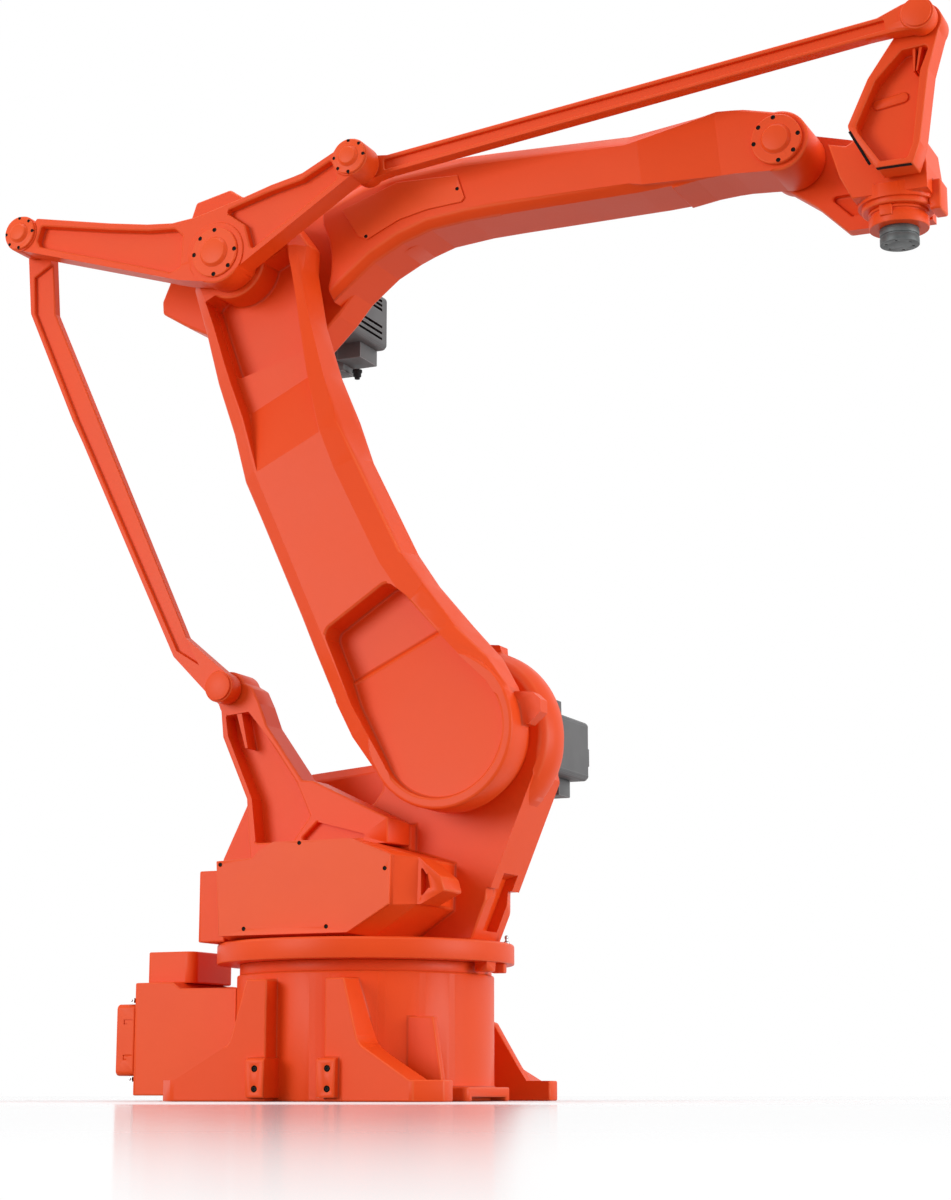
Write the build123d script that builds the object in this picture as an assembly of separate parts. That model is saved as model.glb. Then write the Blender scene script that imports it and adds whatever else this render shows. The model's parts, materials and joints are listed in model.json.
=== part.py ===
from build123d import *
import math
import os

# Four-axis palletizing robot arm. Sizes are millimetres.
# +Z is up and +X is the way the arm reaches. The origin is on the turning axis, at the floor.
# The near side of the robot is -Y: rocker and rods lie there, the motors lie on the far side.

# Clearances
face_gap = 0.3
running_gap = 0.05
open_pivot_gap = 0.6
past = 1

# Linkage in the XZ plane
shoulder_x = 282
shoulder_z = 818
lower_arm_length = 1310
lower_arm_lean = 25.4
upper_arm_length = 1355
upper_arm_rise = 5.6
rocker_rear_length = 586
rocker_rear_rise = 13.4
rocker_front_length = 406
rocker_front_rise = 27.0
flange_offset = 253
flange_drop = 262

# Layers along Y, from the far face of the upper arm towards the near side
upper_arm_near = -80
upper_arm_width = 145
upper_arm_root_back = 40
pad_proud = 25
arm_side_gap = 6
lower_arm_width = 94
rocker_side_gap = 17
rocker_width = 58
rocker_web = 14
boss_proud = 4
rocker_boss_back = 6
link_side_gap = 4
link_width = 46
link_body_width = 34
link_groove = 11
lever_width = 80

# Caps and pins
cap_thickness = 6
small_cap_radius = 43
elbow_cap_radius = 62
wrist_cap_radius = 59
wrist_cap_thickness = 12
dome_share = 0.6
dome_height = 9
pin_radius = 20
elbow_pin_radius = 38
wrist_pin_radius = 30
rocker_boss_radius = 46
elbow_boss_radius = 76
rod_boss_radius = 37

# Base
base_radius = 298
base_height = 283
bearing_inset = 6
bearing_height = 25
foot_half_x = 350
foot_half_y = 362
foot_height = 46
foot_side_y = 267
foot_corner_x = 300
foot_corner_y = 312
foot_hole_radius = 14
foot_hole_inset_x = 44
foot_hole_inset_y = 62
gusset_top = 265
gusset_inner_x = 73
gusset_outer_x = 122
gusset_inner_y = 338
gusset_waist_x = 160
gusset_waist_z = 124
gusset_waist_radius = 40
gusset_flare_x = 290
gusset_thickness = 84
far_web_thickness = 26
screw_block_inner_x = 65
screw_block_width = 46
screw_block_top = 93
screw_block_bottom = 8
screw_block_proud = 22
rib_inset_y = 98
rib_thickness = 20
rib_top = 183
side_pad_half = 120
side_pad_proud = 17
side_pad_height = 31
side_pad_slot_half = 92
side_pad_slot_height = 9

# Cable box and turning motor at the back of the base
cable_box_rear = -536
cable_box_half_y = 150
cable_box_bottom = 12
cable_box_top = 257
cable_box_step_x = -431
cable_box_step = 15
connector_panel_depth = 50
connector_panel_half_y = 146
connector_panel_bottom = 57
connector_panel_top = 223
turn_motor_rear = -534
turn_motor_front = -408
turn_motor_half_y = 96
turn_motor_height = 74

# Turret
ring_overhang = 47
ring_thickness = 47
stop_block_drop = 22
column_near = -60
column_width = 160
shoulder_radius = 187
shoulder_rim_radius = 212
shoulder_rim_back = 40
shoulder_rim_end = 85
gearbox_radius = 160
column_pocket_depth = 100
front_box_near = -300
front_box_chamfer = 50
front_box_top = 573
front_box_left = -231
front_box_right = 212
nose_reach = 108
nose_width = 95
cover_thickness = 6
rear_box_left = -306
rear_box_near = -250
rear_box_top = 518
bracket_web = 34
bracket_rim = 14
bracket_bar_end = 135
bracket_bar_height = 50
bracket_bar_slant = 18

# Motors
motor_half = 73
shoulder_motor_end = 440
shoulder_motor_dx = 32
shoulder_motor_dz = 24
shoulder_motor_box_height = 38
shoulder_motor_box_length = 190
elbow_motor_end = 425
elbow_motor_dx = 36
elbow_motor_dz = 15
motor_adapter = 34
motor_plug = 42

# Lower arm
hub_radius = 180
hub_pocket_radius = 155
rear_chamfer = 44
rear_chamfer_depth = 30
front_chamfer_depth = 12
hub_floor_depth = 6
crease_station = 221
crease_depth = 60
pocket_depth = 70
top_recess_depth = 74
shelf_depth = 45
elbow_seat_radius = 90

# Upper arm
pad_arc_radius = 220
pad_top_chamfer = 28
pad_low_chamfer = 18
elbow_housing_radius = 112
wrist_end_radius = 72

# Wrist
collar_radius = 90
collar_lip_radius = 82
collar_top = 152
collar_lip = 12
housing_bottom = 187
lever_seat_gap = 12
wrist_plate_width = 40
wrist_plate_gap = 4
wrist_ring_radius = 67
wrist_ring_height = 38
ring_groove = 5
tool_flange_radius = 44
tool_flange_groove = 3
tool_bolt_circle = 63
tool_bolt_radius = 3.4
tool_bolt_depth = 12


def heading(angle):
    return (math.cos(math.radians(angle)), math.sin(math.radians(angle)))


def moved(point, direction, distance):
    return (point[0] + direction[0] * distance, point[1] + direction[1] * distance)


# Places worked out from the sizes above
lower_way = heading(90 + lower_arm_lean)
upper_way = heading(upper_arm_rise)
rear_way = heading(180 - rocker_rear_rise)
front_way = heading(rocker_front_rise)
shoulder = (shoulder_x, shoulder_z)
elbow = moved(shoulder, lower_way, lower_arm_length)
wrist = moved(elbow, upper_way, upper_arm_length)
rocker_rear = moved(elbow, rear_way, rocker_rear_length)
rocker_front = moved(elbow, front_way, rocker_front_length)
link_foot = moved(shoulder, rear_way, rocker_rear_length)
lever_top = moved(wrist, front_way, rocker_front_length)

upper_arm_far = upper_arm_near + upper_arm_width
pad_near = upper_arm_near - pad_proud
lower_arm_far = pad_near - arm_side_gap
lower_arm_near = lower_arm_far - lower_arm_width
rocker_far = lower_arm_near - rocker_side_gap
rocker_near = rocker_far - rocker_width
boss_near = rocker_near - boss_proud
boss_far = rocker_far + rocker_boss_back
cap_near = boss_near - cap_thickness
link_near = boss_far + link_side_gap
link_far = link_near + link_width
lever_near = link_far + link_side_gap
lever_far = lever_near + lever_width
lever_back = lever_far - lever_seat_gap
column_far = column_near + column_width
side_pad_reach = base_radius + side_pad_proud
ring_radius = base_radius + ring_overhang
base_top = base_height + bearing_height
ring_bottom = base_top + face_gap
ring_top = ring_bottom + ring_thickness
turret_foot = ring_top + face_gap
flange_axis = wrist[0] + flange_offset
plate_near = upper_arm_far + wrist_plate_gap
plate_far = plate_near + wrist_plate_width


def around(pivot, offsets):
    return [(pivot[0] + dx, pivot[1] + dz) for dx, dz in offsets]


def along(pivot, way, pairs):
    # Points given as a distance from the pivot along a way and a distance to its left.
    return [
        (pivot[0] + way[0] * far - way[1] * left, pivot[1] + way[1] * far + way[0] * left)
        for far, left in pairs
    ]


def outline(points, radius=0):
    face = make_face(Polyline(*points, close=True))
    if radius:
        face = fillet(face.vertices(), radius)
    return face


def slab(face, near, far):
    # A plate of the given XZ outline, from the near Y to the far Y.
    return extrude(Plane.XZ.offset(-far) * face, far - near)


def disc(centre, radius, near, far):
    return slab(Pos(*centre) * Circle(radius), near, far)


def block(x0, x1, y0, y1, z0, z1):
    return Pos((x0 + x1) / 2, (y0 + y1) / 2, (z0 + z1) / 2) * Box(x1 - x0, y1 - y0, z1 - z0)


def standing(face, z0, z1):
    # A body with the given XY outline, from one height to another.
    return extrude(Pos(0, 0, z0) * face, z1 - z0)


def skin(sections):
    # A body with flat sides between outlines in XZ, each given as (y, points).
    return loft([Plane.XZ.offset(-y) * outline(points) for y, points in sections], ruled=True)


def depth_cutter(pivot, way, profile):
    # A cutter of the given depth profile, drawn as (distance along the way, Y).
    place = Plane(origin=(pivot[0], 0, pivot[1]), x_dir=(way[0], 0, way[1]), z_dir=(-way[1], 0, way[0]))
    return extrude(place * outline(profile), lower_arm_length, both=True)


def between(start, end, share):
    return start + (end - start) * share


def turned_about(centre, profile):
    # A body of revolution about a Y axis, with the profile drawn as (radius, Y).
    face = make_face(Polyline(*profile, close=True))
    return Pos(centre[0], 0, centre[1]) * revolve(face, Axis.Y)


def domed_cap(centre, radius, near, far):
    # A round cover with a raised middle whose edge slopes.
    foot = radius * dome_share
    return turned_about(centre, [
        (0, far),
        (radius, far),
        (radius, near + 2),
        (radius - 2, near),
        (foot, near),
        (foot - dome_height * 0.7, near - dome_height),
        (0, near - dome_height),
    ])


def foot_gusset(hand, side):
    # One corner foot with the web that rises from it to the drum.
    plan = outline([
        (hand * gusset_inner_x, side * gusset_inner_y),
        (hand * gusset_flare_x, side * foot_half_y),
        (hand * foot_corner_x, side * foot_half_y),
        (hand * foot_half_x, side * foot_corner_y),
        (hand * foot_half_x, side * foot_side_y),
        (hand * gusset_flare_x * 0.7, side * foot_side_y),
        (hand * gusset_inner_x, side * base_radius * 0.75),
    ])
    waist = (hand * gusset_waist_x, gusset_waist_z)
    web = outline([
        waist,
        (hand * gusset_outer_x, gusset_top),
        (hand * gusset_inner_x, gusset_top),
        (hand * gusset_inner_x, 0),
        (hand * foot_half_x, 0),
        (hand * foot_half_x, foot_height),
        (hand * gusset_flare_x, foot_height),
    ])
    web = fillet(web.vertices().sort_by_distance(waist)[0], gusset_waist_radius)
    near, far = sorted((side * foot_half_y, side * base_radius * 0.75))
    body = standing(plan, 0, gusset_top) & slab(web, near, far)
    thin = side * (gusset_inner_y - gusset_thickness)
    inner = block(-foot_half_x, foot_half_x, min(thin, 0), max(thin, 0), foot_height, gusset_top + past)
    body -= inner
    hole_x = hand * (foot_half_x - foot_hole_inset_x)
    hole_y = side * (foot_half_y - foot_hole_inset_y)
    return body - Pos(hole_x, hole_y, foot_height / 2) * Cylinder(foot_hole_radius, foot_height + past)


def far_web(hand):
    # The straight web from the drum down to a far foot's inner face.
    face = outline([
        (hand * gusset_outer_x, gusset_top - 60),
        (hand * 206, 181),
        (hand * 265, 82),
        (hand * gusset_flare_x, foot_height - past),
        (hand * gusset_outer_x, foot_height - past),
    ])
    return slab(face, foot_side_y, foot_side_y + far_web_thickness)


def screw_block(hand):
    x0, x1 = sorted((hand * screw_block_inner_x, hand * (screw_block_inner_x + screw_block_width)))
    near = -gusset_inner_y - screw_block_proud
    body = block(x0, x1, near, near + gusset_thickness, screw_block_bottom, screw_block_top)
    return chamfer(body.edges().filter_by(Axis.X).group_by(Axis.Z)[-1].sort_by(Axis.Y)[0], 5)


def base_casting():
    body = Pos(0, 0, base_height / 2) * Cylinder(base_radius, base_height)
    for hand in (-1, 1):
        for side in (-1, 1):
            body += foot_gusset(hand, side)
        body += far_web(hand)
        body += screw_block(hand)
    pad = block(0, side_pad_reach, -side_pad_half, side_pad_half, 0, side_pad_height)
    pad = fillet(pad.edges().filter_by(Axis.Z).group_by(Axis.X)[-1], 14)
    body += pad
    body -= block(base_radius - 20, side_pad_reach + past, -side_pad_slot_half, side_pad_slot_half,
                  -past, side_pad_slot_height)
    rib = outline([
        (base_radius * 0.6, rib_top),
        (base_radius - 24, rib_top),
        (base_radius - 2, foot_height),
        (base_radius - 2, 0),
        (base_radius * 0.6, 0),
    ])
    rib_y = rib_inset_y - base_radius
    return body + slab(rib, rib_y - rib_thickness / 2, rib_y + rib_thickness / 2)


def slewing_bearing():
    return Pos(0, 0, base_height + bearing_height / 2) * Cylinder(base_radius - bearing_inset, bearing_height)


def cable_box():
    side = outline([
        (cable_box_rear, cable_box_bottom),
        (cable_box_rear, cable_box_top + cable_box_step),
        (cable_box_step_x, cable_box_top + cable_box_step),
        (cable_box_step_x + 1.3 * cable_box_step, cable_box_top),
        (0, cable_box_top),
        (0, cable_box_bottom),
    ])
    box = slab(side, -cable_box_half_y, cable_box_half_y)
    box = fillet(box.edges().filter_by(Axis.Z).group_by(Axis.X)[0], 10)
    return box - Pos(0, 0, base_height / 2) * Cylinder(base_radius + face_gap, base_height * 2)


def connector_panel():
    face = Rectangle(2 * connector_panel_half_y, connector_panel_top - connector_panel_bottom)
    face = fillet(face.vertices(), 12)
    centre_z = (connector_panel_top + connector_panel_bottom) / 2
    place = Plane(origin=(cable_box_rear - face_gap, 0, centre_z), x_dir=(0, -1, 0), z_dir=(-1, 0, 0))
    body = extrude(place * face, connector_panel_depth)
    return fillet(body.edges().group_by(Axis.X)[0], 6)


def turn_motor():
    z0 = cable_box_top + cable_box_step + face_gap
    body = block(turn_motor_rear, turn_motor_front, -turn_motor_half_y, turn_motor_half_y,
                 z0, z0 + turn_motor_height)
    body = fillet(body.edges().filter_by(Axis.Z).group_by(Axis.X)[-1], 22)
    return fillet(body.edges().filter_by(Axis.Z).group_by(Axis.X)[0], 8)


def turret_ring():
    ring = Pos(0, 0, ring_bottom + ring_thickness / 2) * Cylinder(ring_radius, ring_thickness)
    ring = chamfer(ring.edges().group_by(Axis.Z)[-1], 4)
    for angle, length in ((-6, 40), (8, 24)):
        stop = block(base_radius + 8, ring_radius - 8, -length / 2, length / 2,
                     ring_bottom - stop_block_drop, ring_bottom + past)
        ring += Rot(0, 0, angle) * stop
    return ring


def shoulder_rim():
    # The round flange that faces the lower arm, with a sloped edge.
    y0 = column_near
    y1 = column_near + shoulder_rim_back
    y2 = column_near + shoulder_rim_end
    return turned_about(shoulder, [
        (0, y0),
        (shoulder_radius, y0),
        (between(shoulder_radius, shoulder_rim_radius, 0.55), between(y0, y1, 0.3)),
        (shoulder_rim_radius, y1),
        (shoulder_rim_radius, y2),
        (shoulder_radius - 10, y2 + 14),
        (0, y2 + 14),
    ])


def column():
    # The wall that carries the shoulder, open at the near side between bracket and shoulder.
    plate = outline([
        (front_box_left - 90, turret_foot),
        (front_box_left - 124, front_box_top - 8),
        (front_box_left - 57, front_box_top + 127),
    ] + around(shoulder, [
        (-470, -46),
        (-290, -31),
        (-120, 120),
        (125, 130),
        (169, -92),
    ]) + [
        (shoulder[0] + 14, turret_foot),
    ])
    plate += Pos(*shoulder) * Circle(shoulder_radius - 6)
    body = slab(plate, column_near, column_far)
    ring_clip = Pos(0, 0, turret_foot + 60) * Cylinder(ring_radius - 6, 120)
    foot = block(-ring_radius - 60, ring_radius, column_near, column_far, turret_foot, turret_foot + 118)
    body = (body - foot) + (body & foot & ring_clip)
    pocket = outline(around(shoulder, [
        (-500, -250),
        (-530, -120),
        (-470, -90),
        (-470, 60),
        (-270, 60),
        (-212, -40),
        (-214, -110),
        (-236, -140),
    ]), 12)
    wall_near = column_near + column_pocket_depth
    body -= slab(pocket, column_near - past, wall_near)
    top_edge = (shoulder[0] - 380, shoulder[1] - 38.5)
    bevel = depth_cutter(top_edge, heading(94.8), [
        (-24, wall_near),
        (past, wall_near + 25),
        (past, wall_near - past),
        (-24, wall_near - past),
    ])
    body -= bevel & block(shoulder[0] - 470, shoulder[0] - 282, column_near, column_far, 0, shoulder[1])
    flank_pocket = outline(around(shoulder, [
        (-3, -438),
        (48, -318),
        (118, -298),
        (118, -438),
    ]), 6)
    body -= slab(flank_pocket, column_near + 42, column_far - 40)
    return body + shoulder_rim()


def front_casting():
    # The housing behind the side cover, with a chamfered front corner and a pointed nose.
    cover_seat = front_box_near + cover_thickness + face_gap
    face = [
        (front_box_left + 10, turret_foot + 9),
        (front_box_left, front_box_top - 38),
        (-137, front_box_top - 34),
        (-84, front_box_top),
        (113, front_box_top),
        (front_box_right, front_box_top - 40),
        (front_box_right - 3, turret_foot + 68),
        (105, turret_foot + 9),
    ]
    corner = front_box_chamfer * 0.88
    back = [
        (front_box_left + 10, turret_foot),
        (front_box_left, front_box_top - 38),
        (-137, front_box_top - 34),
        (-84, front_box_top),
        (113, front_box_top),
        (front_box_right + corner, front_box_top - 44),
        (front_box_right + corner - 3, turret_foot + 70),
        (150, turret_foot),
    ]
    body = skin([(cover_seat, face), (front_box_near + front_box_chamfer, back)])
    body += slab(outline(back), front_box_near + front_box_chamfer, column_near)
    bar_back = lever_far + face_gap
    shelf = outline([
        (bracket_bar_end - 40, bar_back),
        (bracket_bar_end + bracket_bar_slant, bar_back),
        (bracket_bar_end + bracket_bar_slant + 4, column_near),
        (bracket_bar_end - 40, column_near),
    ])
    body += standing(shelf, front_box_top - 60, front_box_top + bracket_bar_height)
    tip = (front_box_right + nose_reach, front_box_top - 119)
    nose = outline([
        (front_box_right, front_box_top - 30),
        (front_box_right + corner, front_box_top - 44),
        (tip[0] - 8, tip[1] + 29),
        tip,
        (front_box_right + corner + 6, turret_foot + 70),
        (front_box_right, turret_foot + 70),
    ])
    body += slab(nose, front_box_near + front_box_chamfer, front_box_near + front_box_chamfer + nose_width)
    hollow = outline([
        (front_box_right + corner + 6, front_box_top - 62),
        (tip[0] - 44, tip[1] + 36),
        (tip[0] - 38, tip[1] + 8),
        (front_box_right + corner + 6, turret_foot + 84),
    ], 3)
    return body - slab(hollow, front_box_near + front_box_chamfer - past, front_box_near + front_box_chamfer + 26)


def top_lug():
    angle = math.radians(74)
    x = shoulder[0] + shoulder_rim_radius * math.cos(angle)
    z = shoulder[1] + shoulder_rim_radius * math.sin(angle)
    face = outline([(x - 20, z - 20), (x - 20, z + 17), (x + 10, z + 14), (x + 20, z - 20)], 4)
    return slab(face, column_near + shoulder_rim_back, column_near + shoulder_rim_end)


def turret_casting():
    return column() + front_casting() + top_lug()


def shoulder_gearbox():
    return disc(shoulder, gearbox_radius, lower_arm_far + face_gap, column_near - face_gap)


def link_bracket():
    foot_z = front_box_top + face_gap
    web = outline(around(link_foot, [
        (-36, -10),
        (-21, -49),
        (-14, -115),
        (53, -263),
    ]) + [
        (link_foot[0] + 66, foot_z - 34),
        (-137, foot_z - 34),
        (-84, foot_z),
        (bracket_bar_end + bracket_bar_slant, foot_z),
        (bracket_bar_end + bracket_bar_slant, foot_z + bracket_bar_height),
        (-60, foot_z + 152),
    ] + around(link_foot, [
        (200, -226),
        (140, -143),
        (103, -91),
        (83, -39),
        (64, 0),
        (30, 20),
    ]))
    body = slab(web, lever_near, lever_far)
    bar_end = outline([
        (bracket_bar_end, lever_near - past),
        (bracket_bar_end + bracket_bar_slant, lever_far),
        (bracket_bar_end + bracket_bar_slant + past, lever_far),
        (bracket_bar_end + bracket_bar_slant + past, lever_near - past),
    ])
    body -= standing(bar_end, foot_z - past, foot_z + 2 * bracket_bar_height)
    body += disc(link_foot, rod_boss_radius + 6, lever_near, lever_far)
    hollow = outline(around(link_foot, [
        (-8, -62),
        (0, -112),
        (53 + bracket_rim, -262),
    ]) + [
        (link_foot[0] + 80, foot_z + bracket_rim),
        (-110, foot_z + bracket_rim),
        (-66, foot_z + 70),
    ] + around(link_foot, [
        (186, -232),
        (126, -148),
        (88, -96),
        (54, -56),
    ]), 5)
    body -= slab(hollow, lever_near - past, lever_far - bracket_web)
    rib = outline(around(link_foot, [(18, -50), (32, -50), (52, -142), (46, -142)]))
    body += slab(rib, lever_near + 3, lever_far - bracket_web + past)
    low_hollow = outline([
        (-92, foot_z + bracket_rim),
        (-46, foot_z + 56),
        (110, foot_z + bracket_rim),
    ], 5)
    body -= slab(low_hollow, lever_near - past, lever_near + 16)
    return body - disc(link_foot, pin_radius + running_gap, lever_near - past, lever_far + past)


def side_cover():
    face = outline([
        (front_box_left + 10, turret_foot + 9),
        (front_box_left, front_box_top - 39),
        (-137, front_box_top - 35),
        (-124, front_box_top - 21),
        (-84, front_box_top - 1),
        (113, front_box_top - 1),
        (front_box_right, front_box_top - 41),
        (front_box_right - 3, turret_foot + 69),
        (106, turret_foot + 9),
    ])
    return slab(face, front_box_near, front_box_near + cover_thickness)


def rear_box():
    body = block(rear_box_left, front_box_left - 4 - face_gap, rear_box_near, column_near - 20,
                 turret_foot, rear_box_top)
    return fillet(body.edges().filter_by(Axis.Z).group_by(Axis.X)[0], 8)


def column_cover():
    face = outline([(-250, 430), (-250, 600), (40, 690), (150, 640), (170, 430)], 20)
    return slab(face, column_far + face_gap, column_far + face_gap + cover_thickness)


def motor(centre, near, far):
    square = Pos(*centre) * Rectangle(2 * motor_half, 2 * motor_half)
    body = slab(fillet(square.vertices(), 14), near + motor_adapter, far)
    body = chamfer(body.edges().group_by(Axis.Y)[-1], 6)
    return body + disc(centre, motor_half + 18, near, near + motor_adapter)


def shoulder_motor():
    centre = (shoulder[0] + shoulder_motor_dx, shoulder[1] + shoulder_motor_dz)
    near = column_far + face_gap
    body = motor(centre, near, shoulder_motor_end)
    y0 = near + motor_adapter
    top = centre[1] + motor_half
    return body + block(centre[0] - 46, centre[0] + 48, y0, y0 + shoulder_motor_box_length,
                        top - past, top + shoulder_motor_box_height)


def shoulder_motor_plug():
    x = shoulder[0] + shoulder_motor_dx
    z = shoulder[1] + shoulder_motor_dz - motor_half - face_gap
    y1 = shoulder_motor_end - 30
    return block(x - 40, x + 34, y1 - 70, y1, z - motor_plug, z)


def elbow_motor():
    centre = (elbow[0] + elbow_motor_dx, elbow[1] + elbow_motor_dz)
    return motor(centre, upper_arm_far + face_gap, elbow_motor_end)


def elbow_motor_plug():
    x = elbow[0] + elbow_motor_dx
    z = elbow[1] + elbow_motor_dz - motor_half - face_gap
    y1 = elbow_motor_end - 7
    body = block(x - 24, x + 46, y1 - 96, y1, z - motor_plug, z)
    return body + block(x - 60, x - 22, y1 - 64, y1, z - motor_plug - 20, z)


# Lower arm stations: distance from the joint, rear edge, then near flat, chamfer edge and far edge
# on the front side. The first list counts from the shoulder and the second from the elbow.
lower_arm_foot_stations = [
    (-60, 172, -140, -162, -166),
    (20, 194, -164, -183, -184),
    (100, 210, -128, -170, -180),
    (200, 214, -93, -132, -150),
    (330, 212, -49, -104, -114),
    (425, 209, -33, -86, -99),
]
lower_arm_head_stations = [
    (-620, 206, -25, -79, -91),
    (-510, 206, -31, -75, -102),
    (-385, 184, -57, -93, -106),
    (-245, 170, -95, -118, -125),
    (-114, 147, -125, -145, -160),
]
lower_arm_end = [(12, 129), (100, 69), (135, -1), (122, -87), (59, -165), (-59, -188)]


def lower_arm_section(depth):
    # The outline at a depth behind the near face.
    rear_share = min(1, depth / rear_chamfer_depth)
    front_share = min(1, depth / front_chamfer_depth)
    side_share = max(0, depth - front_chamfer_depth) / (lower_arm_width - front_chamfer_depth)
    end_share = between(0.8, 1, rear_share)

    def rear(stations):
        return [(s[0], s[1] - rear_chamfer * (1 - rear_share)) for s in stations]

    def front(stations):
        return [(s[0], between(between(s[2], s[3], front_share), s[4], side_share)) for s in reversed(stations)]

    end = [(end_share * a, end_share * b) for a, b in lower_arm_end]
    points = along(shoulder, lower_way, rear(lower_arm_foot_stations))
    points += along(elbow, lower_way, rear(lower_arm_head_stations) + end + front(lower_arm_head_stations))
    points += along(shoulder, lower_way, front(lower_arm_foot_stations))
    return (lower_arm_near + depth, points)


def hub_pocket():
    # The shoulder pocket: a tilted floor that meets a deeper flat at a crease.
    face = outline(along(shoulder, lower_way, [
        (0, hub_pocket_radius),
        (160, 170),
        (350, 163),
        (375, -32),
        (335, -52),
        (200, -94),
        (123, -119),
        (42, -151),
        (0, -hub_pocket_radius),
    ]))
    corners = face.vertices().sort_by_distance(Vector(*along(shoulder, lower_way, [(375, 60)])[0]))
    face = fillet(corners[0:2], 26)
    face += Pos(*shoulder) * Circle(hub_pocket_radius)
    reach = -hub_pocket_radius - 10
    deep = lower_arm_near + pocket_depth
    profile = depth_cutter(shoulder, lower_way, [
        (reach, lower_arm_near - past),
        (reach, lower_arm_near + hub_floor_depth),
        (crease_station, lower_arm_near + crease_depth),
        (crease_station + 8, deep),
        (400, deep),
        (400, lower_arm_near - past),
    ])
    return slab(face, lower_arm_near - past, lower_arm_far) & profile


def top_recess():
    # The recess below the elbow: a ramp, a shelf and a deep part.
    face = outline(along(elbow, lower_way, [
        (-518, 156),
        (-378, 135),
        (-277, 128),
        (-50, 105),
        (-50, -146),
        (-186, -111),
        (-345, -66),
        (-480, -36),
        (-518, -28),
    ]))
    shelf = lower_arm_near + shelf_depth
    ramp = depth_cutter(elbow, lower_way, [
        (-518, lower_arm_near - past),
        (-518, lower_arm_near),
        (-355, shelf),
        (0, shelf),
        (0, lower_arm_near - past),
    ])
    deep_face = outline(along(elbow, lower_way, [
        (-256, 124),
        (-50, 103),
        (-50, -144),
        (-186, -109),
        (-286, -78),
        (-288, -42),
    ]), 14)
    deep = slab(deep_face, lower_arm_near - past, lower_arm_near + top_recess_depth)
    return (slab(face, lower_arm_near - past, lower_arm_far) & ramp) + deep


def arm_stop():
    # The block on the hub that meets the turret's lugs at the ends of the swing.
    face = outline(around(shoulder, [(160, 8), (160, 84), (206, 80), (226, 62), (226, 34), (196, 8)]), 4)
    return slab(face, lower_arm_near + 55, lower_arm_far)


def lower_arm():
    body = skin([
        lower_arm_section(0),
        lower_arm_section(front_chamfer_depth),
        lower_arm_section(rear_chamfer_depth),
        lower_arm_section(lower_arm_width),
    ])
    hub = disc(shoulder, hub_radius, lower_arm_near, lower_arm_far)
    body += chamfer(hub.edges().group_by(Axis.Y)[0], 4)
    body -= hub_pocket()
    body -= top_recess()
    body += disc(elbow, elbow_seat_radius, lower_arm_near, lower_arm_far)
    body += arm_stop()
    return body - disc(elbow, elbow_pin_radius, lower_arm_near - past, lower_arm_far + past)


def elbow_pin():
    return disc(elbow, elbow_pin_radius - running_gap, boss_near + face_gap, upper_arm_far - 20)


def rocker():
    face = outline(around(rocker_rear, [
        (46, 35),
    ]) + around(elbow, [
        (-309, 125),
        (-200, 105),
        (-127, 97),
        (-61, 102),
        (70, 131),
        (148, 151),
        (234, 166),
    ]) + around(rocker_front, [
        (-43, 21),
        (24, -32),
    ]) + around(elbow, [
        (241, 66),
        (66, -40),
        (30, -66),
        (-17, -70),
        (-104, -53),
        (-232, -13),
    ]) + around(rocker_rear, [
        (-2, -43),
    ]))
    body = slab(face, rocker_near, rocker_far)
    rear_hollow = outline(around(rocker_rear, [
        (60, 12),
    ]) + around(elbow, [
        (-309, 107),
        (-196, 87),
        (-118, 80),
        (-96, 60),
        (-100, -20),
        (-128, -30),
        (-232, 5),
    ]) + around(rocker_rear, [
        (56, -42),
        (48, -26),
    ]), 7)
    front_hollow = outline(around(elbow, [
        (20, 103),
        (148, 134),
        (232, 149),
    ]) + around(rocker_front, [
        (-50, 2),
        (-34, -48),
    ]) + around(elbow, [
        (234, 78),
        (96, -4),
        (78, 60),
    ]), 7)
    recess = (rocker_width - rocker_web) / 2
    for hollow in (rear_hollow, front_hollow):
        body -= slab(hollow, rocker_near - past, rocker_near + recess)
        body -= slab(hollow, rocker_far - recess, rocker_far + past)
    body += disc(rocker_rear, rocker_boss_radius, boss_near, boss_far)
    body += disc(rocker_front, rocker_boss_radius, boss_near, boss_far)
    body += disc(elbow, elbow_boss_radius, boss_near, lower_arm_near - face_gap)
    body -= disc(rocker_rear, pin_radius, boss_near - past, boss_far + past)
    body -= disc(rocker_front, pin_radius, boss_near - past, boss_far + past)
    return body - disc(elbow, elbow_pin_radius, boss_near - past, lower_arm_near + past)


def strut(points, near_groove, far_groove, start, end, start_hole, end_hole):
    # A flat bar with a lengthwise groove in each face and a round eye at each end.
    middle = (link_near + link_far) / 2
    near = middle - link_body_width / 2
    far = middle + link_body_width / 2
    body = slab(outline(points), near, far)
    body -= slab(near_groove, near - past, near + link_groove)
    body -= slab(far_groove, far - link_groove, far + past)
    for eye in (start, end):
        body += disc(eye, rod_boss_radius, link_near, link_far)
    body -= disc(start, start_hole, link_near - past, link_far + past)
    return body - disc(end, end_hole, link_near - past, link_far + past)


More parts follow.
